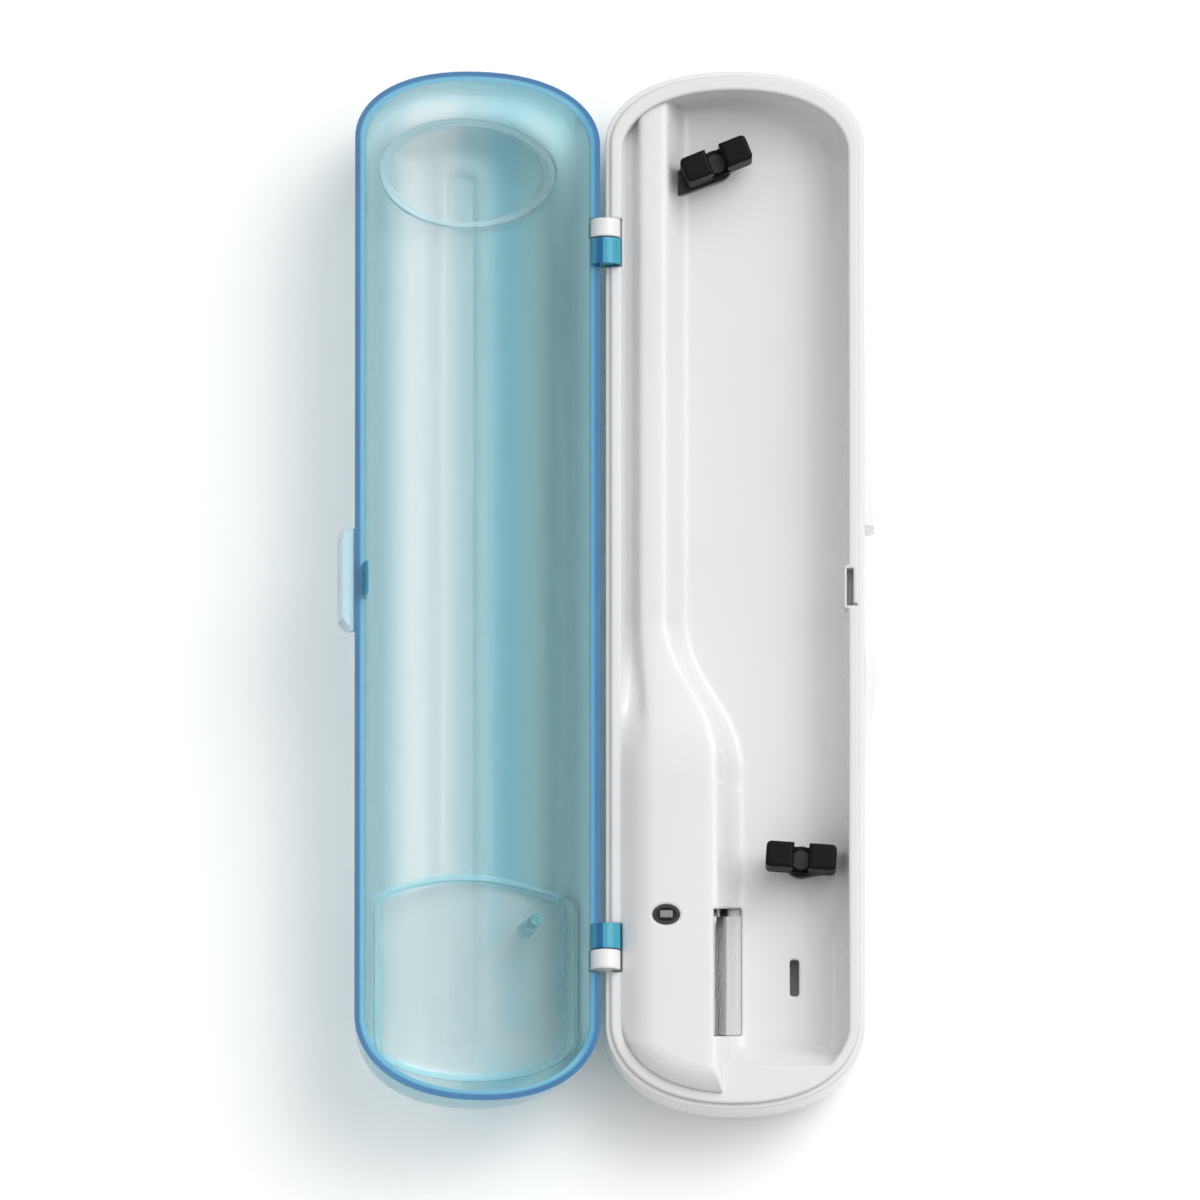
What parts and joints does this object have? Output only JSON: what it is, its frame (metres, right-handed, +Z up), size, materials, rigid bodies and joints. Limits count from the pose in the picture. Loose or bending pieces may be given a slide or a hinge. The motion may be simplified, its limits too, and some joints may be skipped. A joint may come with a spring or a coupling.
{
  "type": "toothbrush sanitizer box",
  "caption": "Long hinged travel case that clips a toothbrush beside an ultraviolet lamp, with a see-through lid, a switch that the lid presses and a battery bay.",
  "frame": {"origin": "centre of the footprint of the opened box, on the surface it rests on", "axes": "+Y runs along the hinge from the lamp end to the battery end, +Z is up, +X points from the opened lid to the base"},
  "size_m": [0.1152, 0.2246, 0.0339],
  "materials": {
    "white_shell": "gloss",
    "white_liner": "gloss",
    "tinted_clear": "clear gloss",
    "pin_steel": "satin",
    "clip_black": "satin",
    "bracket_black": "satin",
    "switch_black": "satin",
    "plunger_grey": "satin",
    "lamp_glass": "clear",
    "holder_white": "matte",
    "reflector": "polished",
    "board_green": "satin",
    "ferrite": "matte",
    "coil_tape": "satin",
    "capacitor_film": "gloss",
    "transistor_black": "matte",
    "cell_wrap": "gloss",
    "contact_steel": "polished",
    "lead_red": "satin",
    "lead_black": "satin",
    "lead_white": "satin",
    "screw_steel": "satin"
  },
  "bodies": {
    "base": {"base_shell": "white_shell", "tray_liner": "white_liner", "hinge_pin_upper": "pin_steel", "hinge_pin_lower": "pin_steel", "upper_clip_stud": "bracket_black", "lower_clip_stud": "bracket_black", "upper_clip_bracket": "bracket_black", "lower_clip_bracket": "bracket_black", "switch_body": "switch_black", "switch_bezel": "switch_black", "uv_lamp_tube": "lamp_glass", "lamp_holders": "holder_white", "lamp_reflector": "reflector", "lamp_leads": "lead_white", "control_board": "board_green", "transformer_core": "ferrite", "transformer_coil": "coil_tape", "capacitors": "capacitor_film", "driver_transistor": "transistor_black", "board_screws": "screw_steel", "battery_1": "cell_wrap", "battery_2": "cell_wrap", "battery_spring": "contact_steel", "battery_spring_plate": "contact_steel", "battery_plate": "contact_steel", "battery_lead_red": "lead_red", "battery_lead_black": "lead_black", "case_screws": "screw_steel"},
    "lid": {"lid_shell": "tinted_clear"},
    "upper_clip": {"upper_clip": "clip_black"},
    "lower_clip": {"lower_clip": "clip_black"},
    "switch_plunger": {"switch_plunger": "plunger_grey"},
    "battery_door": {"battery_door": "white_shell"}
  },
  "joints": [
    {"name": "lid_hinge", "type": "hinge", "parent": "base", "child": "lid", "pos_m": [-0.00061, 0, 0.0195], "axis": [0, 1, 0], "range_deg": [0, 170.4]},
    {"name": "upper_clip_swivel", "type": "hinge", "parent": "base", "child": "upper_clip", "pos_m": [0.02299, 0.09315, 0.0105], "axis": [0, 0, 1], "range_deg": [-20, 20]},
    {"name": "lower_clip_swivel", "type": "hinge", "parent": "base", "child": "lower_clip", "pos_m": [0.04099, -0.0575, 0.0105], "axis": [0, 0, 1], "range_deg": [-20, 20]},
    {"name": "switch_press", "type": "slide", "parent": "base", "child": "switch_plunger", "axis": [0, 0, -1], "range_m": [0, 0.001], "stiffness_N_per_m": 300, "springref_m": -0.0005},
    {"name": "battery_door_slide", "type": "slide", "parent": "base", "child": "battery_door", "axis": [0, 1, 0], "range_m": [0, 0.01]}
  ]
}
